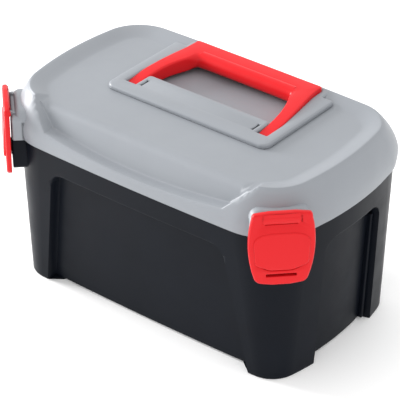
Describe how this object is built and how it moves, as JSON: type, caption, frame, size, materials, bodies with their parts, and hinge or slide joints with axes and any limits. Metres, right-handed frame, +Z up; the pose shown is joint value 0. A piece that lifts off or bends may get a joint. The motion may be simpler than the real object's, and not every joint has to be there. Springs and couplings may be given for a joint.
{
  "type": "toolbox with tray",
  "caption": "Plastic hand toolbox with hinged lid, folding carry handle, swinging corner latches and a lift-out compartment tray.",
  "frame": {"origin": "on the floor at the middle of the box's overall plan", "axes": "+X along the box to the right seen from the latch side, -Y towards the latches, +Y towards the lid hinge, +Z up"},
  "size_m": [0.406, 0.2618, 0.2282],
  "materials": {
    "tub": "satin moulded polypropylene, near black",
    "lid": "satin moulded polypropylene, light grey",
    "red": "smooth moulded polypropylene, signal red",
    "tray": "satin moulded polypropylene, near black",
    "divider": "satin moulded polypropylene, light grey",
    "steel": "drawn wire, zinc plated"
  },
  "bodies": {
    "tub": {"tub": "tub", "hinge_pin_right": "steel", "hinge_pin_left": "steel"},
    "lid": {"lid": "lid", "handle_pin_right": "steel", "handle_pin_left": "steel", "latch_pin_right": "steel", "latch_pin_left": "steel"},
    "carry_handle": {"carry_handle": "red"},
    "latch_right": {"latch_right": "red"},
    "latch_left": {"latch_left": "red"},
    "tray": {"tray": "tray"},
    "tray_bail": {"tray_bail": "red"},
    "divider_front_right": {"divider_front_right": "divider"},
    "divider_front_left": {"divider_front_left": "divider"},
    "divider_rear_right": {"divider_rear_right": "divider"},
    "divider_rear_left": {"divider_rear_left": "divider"}
  },
  "joints": [
    {"name": "lid_hinge", "type": "hinge", "parent": "tub", "child": "lid", "pos_m": [0, 0.12583, 0.176], "axis": [-1, 0, 0], "range_deg": [0, 105]},
    {"name": "handle_fold", "type": "hinge", "parent": "lid", "child": "carry_handle", "pos_m": [0, -0.011, 0.215], "axis": [1, 0, 0], "range_deg": [0, 90]},
    {"name": "latch_right_swing", "type": "hinge", "parent": "lid", "child": "latch_right", "pos_m": [0.17738, -0.10538, 0.207], "axis": [-0.7071, -0.7071, 0], "range_deg": [0, 100]},
    {"name": "latch_left_swing", "type": "hinge", "parent": "lid", "child": "latch_left", "pos_m": [-0.17738, -0.10538, 0.207], "axis": [-0.7071, 0.7071, 0], "range_deg": [0, 100]},
    {"name": "tray_lift", "type": "slide", "parent": "tub", "child": "tray", "axis": [0, 0, 1], "range_m": [0, 0.091]},
    {"name": "tray_bail_swing", "type": "hinge", "parent": "tray", "child": "tray_bail", "pos_m": [0, 0, 0.1627], "axis": [-1, 0, 0], "range_deg": [0, 90]},
    {"name": "divider_front_right_lift", "type": "slide", "parent": "tray", "child": "divider_front_right", "axis": [0, 0, 1], "range_m": [0, 0.036]},
    {"name": "divider_front_left_lift", "type": "slide", "parent": "tray", "child": "divider_front_left", "axis": [0, 0, 1], "range_m": [0, 0.036]},
    {"name": "divider_rear_right_lift", "type": "slide", "parent": "tray", "child": "divider_rear_right", "axis": [0, 0, 1], "range_m": [0, 0.036]},
    {"name": "divider_rear_left_lift", "type": "slide", "parent": "tray", "child": "divider_rear_left", "axis": [0, 0, 1], "range_m": [0, 0.036]}
  ],
  "couplings": [
    {"joint": "tray_lift", "follows": "lid_hinge", "m_per_rad": 0.049111}
  ]
}
